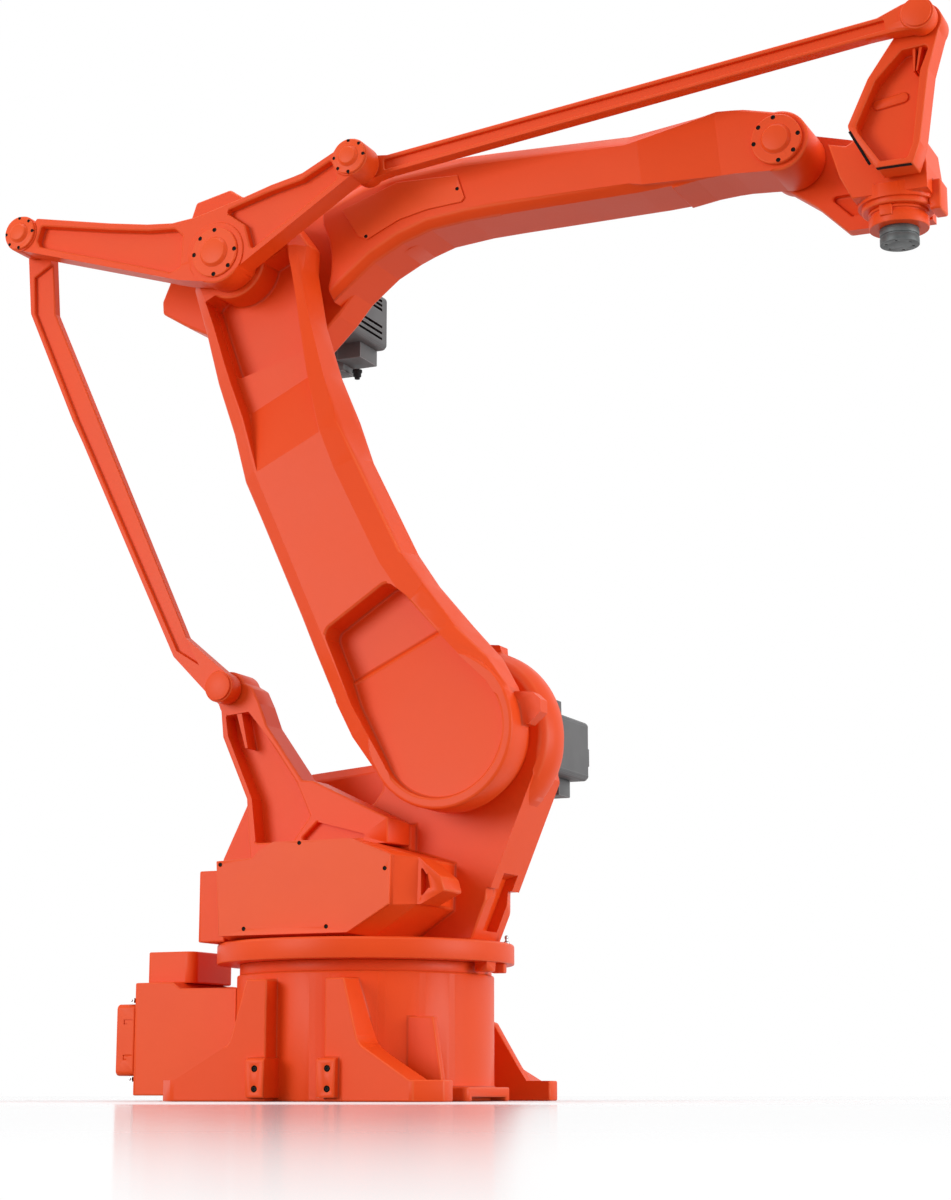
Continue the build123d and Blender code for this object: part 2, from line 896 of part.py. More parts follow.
def rear_link():
    points = along(link_foot, lower_way, [(10, -34), (-8, 32), (129, 81)])
    points += along(rocker_rear, lower_way, [
        (-489, 97),
        (-165, 94),
        (-10, 36),
        (-10, -34),
        (-72, -11),
        (-195, 36),
        (-537, 36),
    ])
    points += along(link_foot, lower_way, [(160, 36)])

    def groove(right):
        # The groove's floor reaches sideways to the given edge on the right.
        line = along(link_foot, lower_way, [(75, 28), (140, 68)])
        line += along(rocker_rear, lower_way, [
            (-489, 85),
            (-168, 82),
            (-78, 46),
            (-74, right - 48),
            (-195, right),
            (-537, right),
        ])
        return outline(line + along(link_foot, lower_way, [(160, right)]))

    return strut(points, groove(36 - past), fillet(groove(47).vertices(), 4), link_foot, rocker_rear,
                 pin_radius + running_gap, pin_radius + open_pivot_gap)


def front_rod():
    points = along(rocker_front, upper_way, [(0, -34), (0, 32), (60, 18)])
    points += along(lever_top, upper_way, [(-90, 16), (-38, 30), (0, 34), (0, -34), (-60, -27), (-120, -25)])
    points += along(rocker_front, upper_way, [(60, -27)])
    groove = along(rocker_front, upper_way, [(52, -17), (52, 8)])
    groove += along(lever_top, upper_way, [(-74, 7), (-74, -16)])
    face = outline(groove, 4)
    return strut(points, face, face, rocker_front, lever_top, pin_radius + running_gap, pin_radius + open_pivot_gap)


# Upper arm stations: distance from the joint, top edge and bottom edge
upper_arm_root_stations = [
    (205, 140, -112),
    (322, 171, -39),
    (403, 176, -9),
    (481, 172, 6),
    (584, 168, 4),
]
upper_arm_wrist_stations = [
    (-691, 157, -3),
    (-337, 104, -38),
    (-140, 106, -49),
]


def upper_arm_points(top_inset, low_inset, ramp):
    # The arm's outline up to the ramp, set in from its top and bottom edges.
    root = upper_arm_root_stations
    tip = upper_arm_wrist_stations
    last = [(s[0] - ramp * r, s[1], s[2]) for s, r in zip(tip, (0, 0.1, 1))]
    points = along(elbow, upper_way, [(s[0], s[1] - top_inset) for s in root])
    points += along(wrist, upper_way, [(s[0], s[1] - top_inset) for s in last])
    points += along(wrist, upper_way, [(s[0], s[2] + low_inset) for s in reversed(last)])
    return points + along(elbow, upper_way, [(s[0], s[2] + low_inset) for s in reversed(root)])


def upper_arm():
    beam = outline(upper_arm_points(0, 0, 0))
    tip = outline(along(wrist, upper_way, [
        (-260, 98),
        (-133, 108),
        (-60, 94),
        (0, wrist_end_radius),
        (0, -wrist_end_radius),
        (-110, -52),
        (-174, -45),
        (-260, -48),
    ]))
    body = slab(beam + tip + Pos(*wrist) * Circle(wrist_end_radius), upper_arm_near, upper_arm_far)
    body += skin([
        (upper_arm_near, upper_arm_points(0, 0, 0)),
        (pad_near, upper_arm_points(pad_top_chamfer, pad_low_chamfer, 184)),
    ])
    root_near = upper_arm_near + upper_arm_root_back
    body -= disc(elbow, pad_arc_radius, pad_near - past, root_near)
    root = outline(along(elbow, upper_way, [
        (-182, 264),
        (-82, 274),
        (-47, 244),
        (83, 228),
        (371, 177),
        (462, 5),
        (353, -24),
        (277, -56),
        (195, -134),
        (125, -188),
        (1, -191),
        (-104, -141),
        (-180, -94),
        (-223, -68),
        (-301, -11),
        (-300, 21),
        (-276, 64),
    ]))
    body += slab(root, root_near, upper_arm_far)
    body += disc(elbow, elbow_housing_radius, lower_arm_far + face_gap, upper_arm_far)
    body -= disc(elbow, elbow_pin_radius + running_gap, lower_arm_far, upper_arm_far - 19)
    return body - disc(wrist, wrist_pin_radius, pad_near - past, upper_arm_far + past)


def arm_cover():
    face = outline(along(elbow, upper_way, [
        (262, 104),
        (300, 26),
        (324, 12),
        (410, 40),
        (489, 47),
        (579, 43),
        (588, 52),
        (574, 113),
        (416, 136),
    ]))
    return slab(face, pad_near - 5, pad_near - face_gap)


def wrist_cap():
    near = upper_arm_near - face_gap - wrist_cap_thickness
    return domed_cap(wrist, wrist_cap_radius, near, upper_arm_near - face_gap)


def wrist_pin():
    return disc(wrist, wrist_pin_radius - running_gap, upper_arm_near, plate_far)


def far_plate():
    # The plate on the far side that hangs on the wrist pin.
    face = outline(around(wrist, [
        (-20, -66),
        (46, -115),
        (115, -184),
        (flange_offset + 60, -housing_bottom),
        (flange_offset + 60, -60),
        (180, 20),
        (40, 60),
    ]))
    face += Pos(*wrist) * Circle(wrist_end_radius - 2)
    body = slab(face, plate_near, plate_far)
    hollow = outline(around(wrist, [(74, -96), (128, -150), (168, -150), (168, -96)]), 8)
    return body - slab(hollow, plate_near - past, plate_near + 14)


def wrist_housing():
    hook = outline(around(wrist, [
        (118, -30),
        (159, -41),
        (196, -18),
        (flange_offset + 78, -40),
        (flange_offset + 86, -110),
        (flange_offset + 86, -collar_top - 14),
        (190, -collar_top - 14),
        (169, -168),
        (141, -110),
    ]))
    body = slab(hook, lever_far, plate_near + past)
    body = body & block(wrist[0], flange_axis + collar_radius, lever_far, plate_near + past,
                        wrist[1] - housing_bottom, wrist[1])
    body += far_plate()
    axis = Pos(flange_axis, 0, 0)
    z0 = wrist[1] - housing_bottom
    body += axis * standing(Circle(collar_radius), z0 + collar_lip, wrist[1] - collar_top + 10)
    body += axis * standing(Circle(collar_lip_radius), z0, z0 + collar_lip)
    side = block(flange_axis + collar_radius - 12, flange_axis + collar_radius + 14, -34, 34,
                 z0 - 13, wrist[1] - 130)
    body += fillet(side.edges().filter_by(Axis.X), 6)
    return body - disc(wrist, wrist_pin_radius + running_gap, plate_near - past, plate_far + past)


def wrist_lever():
    face = outline(around(lever_top, [
        (-62, -21),
    ]) + around(wrist, [
        (234, 73),
        (186, -28),
        (190, -46),
        (248, -137),
        (329, -138),
        (346, -91),
        (371, 74),
    ]) + around(lever_top, [
        (38, -15),
    ]))
    face += Pos(*lever_top) * Circle(rod_boss_radius + 6)
    body = slab(face, lever_near, lever_back)
    stub = outline(around(wrist, [(226, -50), (262, -122), (312, -122), (326, -50)]), 6)
    hollow = outline(around(lever_top, [
        (-48, -58),
    ]) + around(wrist, [
        (252, 66),
        (206, -30),
        (208, -48),
        (256, -122),
        (316, -124),
        (330, -91),
        (352, 74),
    ]) + around(lever_top, [
        (14, -54),
    ]), 9)
    body -= slab(hollow, lever_near - past, lever_near + 40)
    for spread in (-1, 1):
        rib = outline(around(lever_top, [
            (-17 + 9 * spread, -34),
            (-9 + 9 * spread, -34),
            (-20 + 3 * spread, -108),
            (-23 + 3 * spread, -108),
        ]))
        body += slab(rib, lever_near + 8, lever_near + 40 + past)
    bump = SlotCenterToCenter(58, 22)
    body += slab(Pos(wrist[0] + 276, wrist[1] + 27) * Rot(0, 0, 8) * bump, lever_near + 34, lever_near + 40 + past)
    body += slab(stub, lever_back - past, lever_far - face_gap)
    return body - disc(lever_top, pin_radius, lever_near - past, lever_far + past)


def link_pin(centre, near, far):
    return disc(centre, pin_radius, near, far)


def headed_pin(centre, radius, far):
    # A pin whose round head covers the rod's eye.
    seat = link_near - face_gap
    head = disc(centre, rod_boss_radius - 4, seat - cap_thickness, seat)
    return disc(centre, radius, seat, far) + head


def wrist_ring():
    z1 = wrist[1] - housing_bottom - face_gap
    z0 = z1 - wrist_ring_height
    axis = Pos(flange_axis, 0, 0)
    body = axis * standing(Circle(wrist_ring_radius), z0, z1)
    groove = Circle(wrist_ring_radius + past) - Circle(wrist_ring_radius - ring_groove)
    body -= axis * standing(groove, z1 - 14, z1 - 6)
    tab = block(flange_axis - 26, flange_axis + 2, -wrist_ring_radius - 4, -wrist_ring_radius + 20, z0 + 14, z1)
    return body + tab


def tool_flange():
    z1 = wrist[1] - housing_bottom - wrist_ring_height - 2 * face_gap
    z0 = wrist[1] - flange_drop
    axis = Pos(flange_axis, 0, 0)
    body = axis * standing(Circle(tool_flange_radius), z0, z1)
    groove = Circle(tool_flange_radius + past) - Circle(tool_flange_radius - tool_flange_groove)
    body -= axis * standing(groove, z0 + 15, z0 + 20)
    for index in range(6):
        angle = math.radians(60 * index + 30)
        x = flange_axis + tool_bolt_circle / 2 * math.cos(angle)
        y = tool_bolt_circle / 2 * math.sin(angle)
        body -= Pos(x, y, z0 + tool_bolt_depth / 2) * Cylinder(tool_bolt_radius, tool_bolt_depth)
    return body


def write(name, shape):
    export_step(shape, "parts/" + name + ".step")


os.makedirs("parts", exist_ok=True)

write("base_casting", base_casting())
write("slewing_bearing", slewing_bearing())
write("cable_box", cable_box())
write("connector_panel", connector_panel())
write("turn_motor", turn_motor())

write("turret_ring", turret_ring())
write("turret_casting", turret_casting())
write("shoulder_gearbox", shoulder_gearbox())
write("link_bracket", link_bracket())
write("side_cover", side_cover())
write("rear_box", rear_box())
write("column_cover", column_cover())
write("shoulder_motor", shoulder_motor())
write("shoulder_motor_plug", shoulder_motor_plug())
write("bracket_pin", headed_pin(link_foot, pin_radius, lever_far))

write("lower_arm", lower_arm())
write("elbow_pin", elbow_pin())

write("rocker", rocker())
write("rocker_rear_cap", domed_cap(rocker_rear, small_cap_radius, cap_near, boss_near))
write("rocker_elbow_cap", domed_cap(elbow, elbow_cap_radius, cap_near, boss_near))
write("rocker_front_cap", domed_cap(rocker_front, small_cap_radius, cap_near, boss_near))
write("rocker_rear_pin", link_pin(rocker_rear, boss_near + face_gap, link_far))
write("rocker_front_pin", link_pin(rocker_front, boss_near + face_gap, link_far))

write("rear_link", rear_link())
write("front_rod", front_rod())

write("upper_arm", upper_arm())
write("arm_cover", arm_cover())
write("wrist_cap", wrist_cap())
write("wrist_pin", wrist_pin())
write("elbow_motor", elbow_motor())
write("elbow_motor_plug", elbow_motor_plug())

write("wrist_housing", wrist_housing())
write("wrist_lever", wrist_lever())
write("lever_pin", headed_pin(lever_top, pin_radius - running_gap, lever_back))
write("wrist_ring", wrist_ring())

write("tool_flange", tool_flange())
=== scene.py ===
import json
import math

import bmesh
import bpy
from mathutils import Matrix, Vector
from mathutils.bvhtree import BVHTree

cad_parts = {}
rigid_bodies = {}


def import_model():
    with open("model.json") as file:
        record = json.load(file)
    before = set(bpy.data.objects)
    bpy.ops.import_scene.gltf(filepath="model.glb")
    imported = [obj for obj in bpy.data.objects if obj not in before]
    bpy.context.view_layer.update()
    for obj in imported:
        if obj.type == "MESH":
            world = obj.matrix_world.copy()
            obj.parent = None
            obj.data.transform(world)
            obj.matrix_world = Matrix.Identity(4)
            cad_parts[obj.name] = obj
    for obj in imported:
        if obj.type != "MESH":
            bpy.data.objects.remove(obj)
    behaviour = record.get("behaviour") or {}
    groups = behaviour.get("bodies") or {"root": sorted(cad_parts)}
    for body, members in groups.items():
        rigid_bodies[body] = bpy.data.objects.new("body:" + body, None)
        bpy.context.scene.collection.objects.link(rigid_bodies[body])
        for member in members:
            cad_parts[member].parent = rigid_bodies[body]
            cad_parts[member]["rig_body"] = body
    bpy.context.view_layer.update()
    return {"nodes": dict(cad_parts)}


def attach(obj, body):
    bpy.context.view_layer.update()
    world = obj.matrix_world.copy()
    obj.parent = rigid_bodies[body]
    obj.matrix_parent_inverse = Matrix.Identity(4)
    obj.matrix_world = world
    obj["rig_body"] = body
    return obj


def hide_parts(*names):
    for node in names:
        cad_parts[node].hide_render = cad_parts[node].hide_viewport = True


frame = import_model()
nodes = frame["nodes"]
mm = 0.001
nearSide = Vector((0, -1, 0))
farSide = Vector((0, 1, 0))
print("frame loaded,", len(nodes), "parts")


class Wire:
    # one socket, so that sums on it add their own nodes
    def __init__(self, bench, socket):
        self.bench = bench
        self.socket = socket

    def maths(self, operation, first, second=None):
        return self.bench.add("ShaderNodeMath", {"operation": operation}, {0: first, 1: second})

    def __add__(self, other):
        return self.maths("ADD", self, other)

    def __radd__(self, other):
        return self.maths("ADD", other, self)

    def __sub__(self, other):
        return self.maths("SUBTRACT", self, other)

    def __rsub__(self, other):
        return self.maths("SUBTRACT", other, self)

    def __mul__(self, other):
        return self.maths("MULTIPLY", self, other)

    def __rmul__(self, other):
        return self.maths("MULTIPLY", other, self)

    def ramp(self, low, high):
        # 0 below low, 1 above high, smooth between
        return self.bench.add("ShaderNodeMapRange", {"interpolation_type": "SMOOTHSTEP"},
                              {"Value": self, "From Min": low, "From Max": high})


class Bench:
    # a node tree with one way of adding nodes to it
    def __init__(self, tree):
        self.tree = tree

    def add(self, kind, settings, inputs, out=0):
        node = self.tree.nodes.new(kind)
        for key, value in settings.items():
            setattr(node, key, value)
        for key, value in inputs.items():
            if value is not None:
                socket = node.inputs[key] if isinstance(key, int) else self.named(node.inputs, key)
                self.feed(socket, value)
        return Wire(self, self.named(node.outputs, out) if isinstance(out, str) else node.outputs[out])

    def named(self, sockets, name):
        return next(socket for socket in sockets if socket.name == name and socket.enabled)

    def feed(self, socket, value):
        if isinstance(value, Wire):
            self.tree.links.new(value.socket, socket)
        else:
            socket.default_value = value


class Sketch(Bench):
    # a material being drawn up
    def __init__(self, name):
        self.material = bpy.data.materials.new(name)
        self.material.use_nodes = True
        super().__init__(self.material.node_tree)
        self.shader = self.tree.nodes["Principled BSDF"]
        self.output = self.tree.nodes["Material Output"]
        self.place = self.add("ShaderNodeTexCoord", {}, {}, "Object")

    def surface(self, **values):
        for key, value in values.items():
            self.feed(self.shader.inputs[key], value)

    def noise(self, size, detail=2.0, roughness=0.5, stretch=(1, 1, 1)):
        # size is the width of one lump in metres
        place = self.place
        if stretch != (1, 1, 1):
            place = self.add("ShaderNodeMapping", {}, {"Vector": place, "Scale": stretch})
        return self.add("ShaderNodeTexNoise", {}, {"Vector": place, "Scale": 1.0 / size, "Detail": detail,
                                                   "Roughness": roughness})

    def mix(self, factor, first, second):
        return self.add("ShaderNodeMix", {"data_type": "RGBA"},
                        {"Factor": factor, "A": first, "B": second}, "Result")

    def bump(self, height, distance, normal=None):
        return self.add("ShaderNodeBump", {}, {"Height": height, "Distance": distance, "Normal": normal})

    def mark(self, name):
        return self.add("ShaderNodeAttribute", {"attribute_name": name}, {}, "Fac")


# Finishes: a size is the width of one lump and a depth is that of the bump, both in metres,
# a ramp says where a pattern starts and where it is full, and a share is how far it is mixed in
enamel = {
    "deep": (0.76, 0.062, 0.006, 1), "cloudSize": 0.30, "cloudRamp": (0.38, 0.72), "cloudShare": 0.5,
    # painted shade along inward edges
    "creaseShade": (0.30, 0.035, 0.014, 1), "creaseShadeShare": 0.45,
    # painted highlight along outward edges, broken up by grain
    "thin": (0.84, 0.155, 0.050, 1), "thinShare": 0.42, "thinGrain": 0.12,
    "roughness": 0.42, "grainRough": 0.10, "cloudRough": 0.08, "specular": 0.22,
    "waveSize": 0.16, "waveDepth": 0.0014, "grainSize": 0.0045, "grainDepth": 0.00009,
    "peelSize": 0.0018, "peelDepth": 0.00003,
}
housing = {
    "light": (0.125, 0.125, 0.126, 1), "dark": (0.095, 0.095, 0.097, 1), "cloudSize": 0.09,
    # the darkest colour is painted shade along inward edges, and bare is wear on outward edges
    "cloudRamp": (0.3, 0.7), "cloudShare": 0.6, "creaseShade": (0.03, 0.03, 0.03, 1), "creaseShadeShare": 0.5,
    "bare": (0.42, 0.42, 0.43, 1), "bareShare": 0.3, "bareGrain": 0.4, "bareRamp": (0.4, 0.6),
    "roughness": 0.50, "grainRough": 0.14, "specular": 0.35, "grainSize": 0.0013, "grainDepth": 0.00012,
}
ground = {"colour": (0.46, 0.46, 0.47, 1), "size": 0.0011, "stretch": (1, 0.05, 1), "depth": 0.00003,
          "roughness": 0.26, "scratchRough": 0.14}
blackened = {
    "dark": (0.075, 0.083, 0.083, 1), "light": (0.105, 0.112, 0.112, 1), "cloudSize": 0.02,
    "cloudRamp": (0.3, 0.7), "bare": (0.30, 0.31, 0.31, 1), "bareShare": 0.5, "metal": 0.35,
    "roughness": 0.42, "grainRough": 0.15, "grainSize": 0.0009, "grainDepth": 0.00005,
}
black = {"grainSize": 0.0008, "lighter": 1.6, "grainRough": 0.2, "specular": 0.12}


def orangeEnamel(name, colour, cast):
    # cast is 1 on a rough casting and less on a smooth plate
    sketch = Sketch(name)
    cloud = sketch.noise(enamel["cloudSize"], 3.0)
    wave = sketch.noise(enamel["waveSize"], 1.0)
    grain = sketch.noise(enamel["grainSize"], 3.0, 0.6)
    peel = sketch.noise(enamel["peelSize"], 1.0)
    wearAndHighlight = enamel["thinShare"] + enamel["thinGrain"] * grain
    colour = sketch.mix(cloud.ramp(*enamel["cloudRamp"]) * enamel["cloudShare"], colour, enamel["deep"])
    # painted shade along inward edges
    colour = sketch.mix(sketch.mark("nook") * enamel["creaseShadeShare"], colour, enamel["creaseShade"])
    # painted highlight along outward edges
    colour = sketch.mix(sketch.mark("rubAndHighlight") * wearAndHighlight, colour, enamel["thin"])
    normal = sketch.bump(wave, enamel["waveDepth"] * cast)
    normal = sketch.bump(grain, enamel["grainDepth"] * cast, normal)
    normal = sketch.bump(peel, enamel["peelDepth"], normal)
    roughness = enamel["roughness"] + grain * enamel["grainRough"] - cloud * enamel["cloudRough"]
    sketch.surface(**{"Base Color": colour, "Normal": normal, "Specular IOR Level": enamel["specular"],
                      "Roughness": roughness})
    return sketch.material


def greyHousing(name):
    sketch = Sketch(name)
    cloud = sketch.noise(housing["cloudSize"], 3.0)
    grain = sketch.noise(housing["grainSize"], 2.0)
    wearAndHighlight = housing["bareShare"] + housing["bareGrain"] * grain.ramp(*housing["bareRamp"])
    darker = cloud.ramp(*housing["cloudRamp"]) * housing["cloudShare"]
    colour = sketch.mix(darker, housing["light"], housing["dark"])
    # painted shade along inward edges
    colour = sketch.mix(sketch.mark("nook") * housing["creaseShadeShare"], colour, housing["creaseShade"])
    colour = sketch.mix(sketch.mark("rubAndHighlight") * wearAndHighlight, colour, housing["bare"])
    sketch.surface(**{"Base Color": colour, "Normal": sketch.bump(grain, housing["grainDepth"]),
                      "Specular IOR Level": housing["specular"],
                      "Roughness": housing["roughness"] + grain * housing["grainRough"]})
    return sketch.material


def groundSteel(name):
    sketch = Sketch(name)
    scratch = sketch.noise(ground["size"], 2.0, 0.5, ground["stretch"])
    sketch.surface(**{"Base Color": ground["colour"], "Metallic": 1.0,
                      "Roughness": ground["roughness"] + scratch * ground["scratchRough"],
                      "Normal": sketch.bump(scratch, ground["depth"])})
    return sketch.material


def blackenedSteel(name):
    sketch = Sketch(name)
    cloud = sketch.noise(blackened["cloudSize"], 3.0)
    grain = sketch.noise(blackened["grainSize"], 2.0)
    colour = sketch.mix(cloud.ramp(*blackened["cloudRamp"]), blackened["dark"], blackened["light"])
    colour = sketch.mix(sketch.mark("rubAndHighlight") * blackened["bareShare"], colour, blackened["bare"])
    sketch.surface(**{"Base Color": colour, "Metallic": blackened["metal"],
                      "Roughness": blackened["roughness"] + grain * blackened["grainRough"],
                      "Normal": sketch.bump(grain, blackened["grainDepth"])})
    return sketch.material


def plainBlack(name, colour, roughness, depth):
    sketch = Sketch(name)
    grain = sketch.noise(black["grainSize"], 2.0)
    lighter = [shade * black["lighter"] for shade in colour[:3]] + [1]
    sketch.surface(**{"Base Color": sketch.mix(grain, colour, lighter), "Normal": sketch.bump(grain, depth),
                      "Roughness": roughness + grain * black["grainRough"],
                      "Specular IOR Level": black["specular"]})
    return sketch.material


castOrange = orangeEnamel("orangeCast", (0.81, 0.070, 0.007, 1), 1.0)
plateOrange = orangeEnamel("orangePlate", (0.82, 0.085, 0.012, 1), 0.3)
motorGrey = greyHousing("motorGrey")
pinSteel = groundSteel("pinSteel")
flangeBlack = blackenedSteel("flangeBlack")
screwBlack = plainBlack("screwBlack", (0.006, 0.005, 0.005, 1), 0.42, 0.00002)
# near-black painted shade for the walls of bores and slots, and for the strips at the lever
boreBlack = plainBlack("boreBlack", (0.006, 0.003, 0.003, 1), 0.70, 0.00004)
sealRubber = plainBlack("sealRubber", (0.012, 0.012, 0.013, 1), 0.55, 0.00005)

print("materials made")


class Pattern(Bench):
    # Geometry Nodes that set one shape on every marked point
    kinds = {float: "NodeSocketFloat", int: "NodeSocketInt"}

    def __init__(self, name, values):
        super().__init__(bpy.data.node_groups.new(name, "GeometryNodeTree"))
        face = self.tree.interface
        face.new_socket("Points", in_out="INPUT", socket_type="NodeSocketGeometry")
        kinds = {key: self.kinds[type(value)] for key, value in values.items()}
        kinds["Finish"] = "NodeSocketMaterial"
        self.keys = {key: face.new_socket(key, in_out="INPUT", socket_type=kind).identifier
                     for key, kind in kinds.items()}
        face.new_socket("Mesh", in_out="OUTPUT", socket_type="NodeSocketGeometry")
        self.values = values
        self.source = self.tree.nodes.new("NodeGroupInput")

    def value(self, name):
        return Wire(self, self.source.outputs[name])

    def vector(self, x, y, z):
        return self.add("ShaderNodeCombineXYZ", {}, {0: x, 1: y, 2: z})

    def stored(self, name, kind):
        return self.add("GeometryNodeInputNamedAttribute", {"data_type": kind}, {"Name": name}, "Attribute")

    def moved(self, mesh, offset):
        return self.add("GeometryNodeTransform", {}, {"Geometry": mesh, "Translation": offset})

    def onPoints(self, shape, spin):
        # z of the shape points along "facing", and "size" scales it
        facing = self.stored("facing", "FLOAT_VECTOR")
        size = self.stored("size", "FLOAT")
        aim = self.add("FunctionNodeAlignRotationToVector", {"axis": "Z"}, {"Vector": facing})
        turn = self.add("FunctionNodeAxisAngleToRotation", {}, {"Axis": (0, 0, 1), "Angle": spin})
        aim = self.add("FunctionNodeRotateRotation", {"rotation_space": "LOCAL"},
                       {"Rotation": aim, "Rotate By": turn})
        placed = self.add("GeometryNodeInstanceOnPoints", {},
                          {"Points": self.value("Points"), "Instance": shape, "Rotation": aim, "Scale": size})
        real = self.add("GeometryNodeRealizeInstances", {}, {"Geometry": placed})
        done = self.add("GeometryNodeSetMaterial", {}, {"Geometry": real, "Material": self.value("Finish")})
        last = self.tree.nodes.new("NodeGroupOutput")
        self.tree.links.new(done.socket, last.inputs[0])

    def make(self, name, points, finish, **changes):
        # points are (place, facing, size); gives an object whose mesh is plain
        mesh = bpy.data.meshes.new(name)
        mesh.from_pydata([place for place, facing, size in points], [], [])
        mesh.attributes.new("facing", "FLOAT_VECTOR", "POINT")
        mesh.attributes.new("size", "FLOAT", "POINT")
        for number, (place, facing, size) in enumerate(points):
            mesh.attributes["facing"].data[number].vector = facing
            mesh.attributes["size"].data[number].value = size
        made = bpy.data.objects.new(name, mesh)
        bpy.context.scene.collection.objects.link(made)
        modifier = made.modifiers.new("pattern", "NODES")
        modifier.node_group = self.tree
        for key, value in {**self.values, "Finish": finish, **changes}.items():
            modifier[self.keys[key]] = value
        mesh = bake(made)
        mesh.materials.clear()  # an empty slot comes before the finish
        mesh.materials.append(finish)
        mesh.polygons.foreach_set("material_index", [0] * len(mesh.polygons))
        return made


def bake(made):
    # leaves the object with what its modifiers made, as a plain mesh
    graph = bpy.context.evaluated_depsgraph_get()
    mesh = bpy.data.meshes.new_from_object(made.evaluated_get(graph))
    made.modifiers.clear()
    made.data = mesh
    return mesh


# A screw's head in head radii: a rim that narrows to the top, and the count of its flats
screwHead = {"flats": 20, "rim": 0.16, "top": 0.86}


def screwPattern():
    # a socket head whose top is at the point and whose radius is 1
    pattern = Pattern("screwPattern", {"Head Depth": 0.9, "Socket Width": 0.56, "Socket Depth": 0.45,
                                       "Seed": 7})
    depth = pattern.value("Head Depth")
    rim = screwHead["rim"]
    top = pattern.add("GeometryNodeMeshCone", {"fill_type": "NGON"},
                      {"Vertices": screwHead["flats"], "Radius Top": screwHead["top"], "Radius Bottom": 1.0,
                       "Depth": rim}, "Mesh")
    shank = pattern.add("GeometryNodeMeshCylinder", {"fill_type": "NGON"},
                        {"Vertices": screwHead["flats"], "Radius": 1.0, "Depth": depth}, "Mesh")
    shank = pattern.moved(shank, pattern.vector(0.0, 0.0, depth * -0.5 - rim))
    head = pattern.add("GeometryNodeMeshBoolean", {"operation": "UNION", "solver": "EXACT"}, {})
    for part in (pattern.moved(top, (0, 0, -rim)), shank):
        pattern.tree.links.new(part.socket, head.socket.node.inputs[1])
    well = pattern.value("Socket Depth") * 2.0
    socket = pattern.add("GeometryNodeMeshCylinder", {"fill_type": "NGON"},
                         {"Vertices": 6, "Radius": pattern.value("Socket Width"), "Depth": well}, "Mesh")
    cut = pattern.add("GeometryNodeMeshBoolean", {"operation": "DIFFERENCE", "solver": "EXACT"},
                      {"Mesh 1": head})
    pattern.tree.links.new(socket.socket, cut.socket.node.inputs[1])
    spin = pattern.add("FunctionNodeRandomValue", {"data_type": "FLOAT"},
                       {"Min": 0.0, "Max": math.pi / 3, "Seed": pattern.value("Seed")}, "Value")
    pattern.onPoints(cut, spin)
    return pattern


def borePattern():
    # a round cutter that goes into the part and stands a little proud
    pattern = Pattern("borePattern", {"Depth": 1.2, "Proud": 0.3})
    depth = pattern.value("Depth")
    proud = pattern.value("Proud")
    bore = pattern.add("GeometryNodeMeshCylinder", {"fill_type": "NGON"},
                       {"Vertices": 24, "Radius": 1.0, "Depth": depth + proud}, "Mesh")
    pattern.onPoints(pattern.moved(bore, pattern.vector(0.0, 0.0, (proud - depth) * 0.5)), 0.0)
    return pattern


def slotPattern():
    # a flat cutter with its length along y, for slots in a face that looks along x
    pattern = Pattern("slotPattern", {"Length": 0.28, "Height": 0.005, "Depth": 0.016})
    size = pattern.vector(pattern.value("Height"), pattern.value("Length"), pattern.value("Depth"))
    pattern.onPoints(pattern.add("GeometryNodeMeshCube", {}, {"Size": size}, "Mesh"), 0.0)
    return pattern


screws = screwPattern()
bores = borePattern()
slots = slotPattern()


def ring(centre, radius, degrees, facing, size):
    # places around a round part that faces along y, by angle from +x towards +z
    x, y, z = centre
    return [(Vector((x + radius * math.cos(math.radians(a)), y, z + radius * math.sin(math.radians(a)))) * mm,
             facing, size * mm) for a in degrees]


def spots(places, facing, size):
    return [(Vector(place) * mm, facing, size * mm) for place in places]


def square(centre, half, facing, size):
    # four places round the middle of a square face that looks along y
    x, y, z = centre
    return spots([(x - half, y, z - half), (x + half, y, z - half), (x + half, y, z + half),
                  (x - half, y, z + half)], facing, size)


